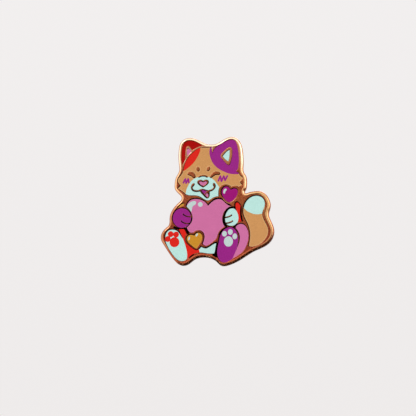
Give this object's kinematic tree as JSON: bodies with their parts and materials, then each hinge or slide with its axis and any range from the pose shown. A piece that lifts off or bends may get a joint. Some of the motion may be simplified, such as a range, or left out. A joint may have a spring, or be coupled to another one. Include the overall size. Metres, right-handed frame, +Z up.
{
  "type": "enamel pin",
  "caption": "Flat enamel pin of a seated kitten hugging a heart, with soldered posts and removable butterfly clutches whose wings squeeze to release.",
  "frame": {"origin": "on the back face of the badge, midway between the two posts", "axes": "+Z up as worn, +Y out of the back face towards the wearer, +X to the viewer's right; the picture faces -Y"},
  "size_m": [0.0329, 0.0102, 0.0376],
  "materials": {
    "metal": "polished copper-coloured plating over struck metal",
    "enamel_mint": "smooth enamel",
    "enamel_tan": "smooth enamel",
    "enamel_purple": "smooth enamel",
    "enamel_magenta": "smooth enamel",
    "enamel_pink": "smooth enamel",
    "enamel_dark_red": "smooth enamel",
    "enamel_gold": "smooth enamel",
    "print_red": "printed film",
    "print_purple": "printed film",
    "print_mint": "printed film",
    "print_pink": "printed film",
    "print_shine": "printed film",
    "post_steel": "plated steel",
    "solder": "dull solder",
    "clutch_brass": "bright pressed brass",
    "spring_steel": "drawn wire"
  },
  "bodies": {
    "badge": {"metal_base": "metal", "enamel_big_heart": "enamel_pink", "enamel_cheek_heart": "enamel_magenta", "enamel_ear_left": "enamel_dark_red", "enamel_ear_left_inner": "enamel_pink", "enamel_ear_right_inner": "enamel_mint", "enamel_face": "enamel_tan", "enamel_foot_left": "enamel_mint", "enamel_foot_right": "enamel_purple", "enamel_gold_heart": "enamel_gold", "enamel_hand_left": "enamel_purple", "enamel_hand_right": "enamel_mint", "enamel_mouth": "enamel_purple", "enamel_nose": "enamel_pink", "enamel_shoulder": "enamel_gold", "enamel_tail": "enamel_tan", "enamel_tongue": "enamel_pink", "print_big_heart_shine": "print_shine", "print_blush_left": "print_purple", "print_blush_right": "print_purple", "print_cheek_heart_shine": "print_shine", "print_ear_patch": "print_purple", "print_forehead_patch": "print_red", "print_gold_heart_shine": "print_shine", "print_leg": "print_red", "print_muzzle": "print_mint", "print_paw_pads_left": "print_red", "print_paw_pads_right": "print_shine", "print_side": "print_red", "print_tail_tip": "print_mint", "print_thigh": "print_pink", "post_upper": "post_steel", "post_lower": "post_steel", "solder_upper": "solder", "solder_lower": "solder"},
    "upper_clutch": {"clutch_upper_disc": "clutch_brass", "clutch_upper_bridge": "clutch_brass", "clutch_upper_spring": "spring_steel"},
    "upper_wing_left": {"clutch_upper_wing_left": "clutch_brass"},
    "upper_wing_right": {"clutch_upper_wing_right": "clutch_brass"},
    "lower_clutch": {"clutch_lower_disc": "clutch_brass", "clutch_lower_bridge": "clutch_brass", "clutch_lower_spring": "spring_steel"},
    "lower_wing_left": {"clutch_lower_wing_left": "clutch_brass"},
    "lower_wing_right": {"clutch_lower_wing_right": "clutch_brass"}
  },
  "joints": [
    {"name": "upper_clutch_slide", "type": "slide", "parent": "badge", "child": "upper_clutch", "axis": [0, 1, 0], "range_m": [0, 0.012]},
    {"name": "upper_wing_left_squeeze", "type": "hinge", "parent": "upper_clutch", "child": "upper_wing_left", "pos_m": [-0.00195, 0.0047, 0.009], "axis": [0, 0, -1], "range_deg": [0, 12], "stiffness_Nm_per_rad": 0.1, "deforming": ["clutch_upper_spring"]},
    {"name": "upper_wing_right_squeeze", "type": "hinge", "parent": "upper_clutch", "child": "upper_wing_right", "pos_m": [0.00195, 0.0047, 0.009], "axis": [0, 0, 1], "range_deg": [0, 12], "stiffness_Nm_per_rad": 0.0001},
    {"name": "lower_clutch_slide", "type": "slide", "parent": "badge", "child": "lower_clutch", "axis": [0, 1, 0], "range_m": [0, 0.012]},
    {"name": "lower_wing_left_squeeze", "type": "hinge", "parent": "lower_clutch", "child": "lower_wing_left", "pos_m": [-0.00195, 0.0047, -0.009], "axis": [0, 0, -1], "range_deg": [0, 12], "stiffness_Nm_per_rad": 0.1, "deforming": ["clutch_lower_spring"]},
    {"name": "lower_wing_right_squeeze", "type": "hinge", "parent": "lower_clutch", "child": "lower_wing_right", "pos_m": [0.00195, 0.0047, -0.009], "axis": [0, 0, 1], "range_deg": [0, 12], "stiffness_Nm_per_rad": 0.0001}
  ],
  "couplings": [
    {"joint": "upper_wing_right_squeeze", "follows": "upper_wing_left_squeeze", "ratio": 1},
    {"joint": "lower_wing_right_squeeze", "follows": "lower_wing_left_squeeze", "ratio": 1}
  ]
}
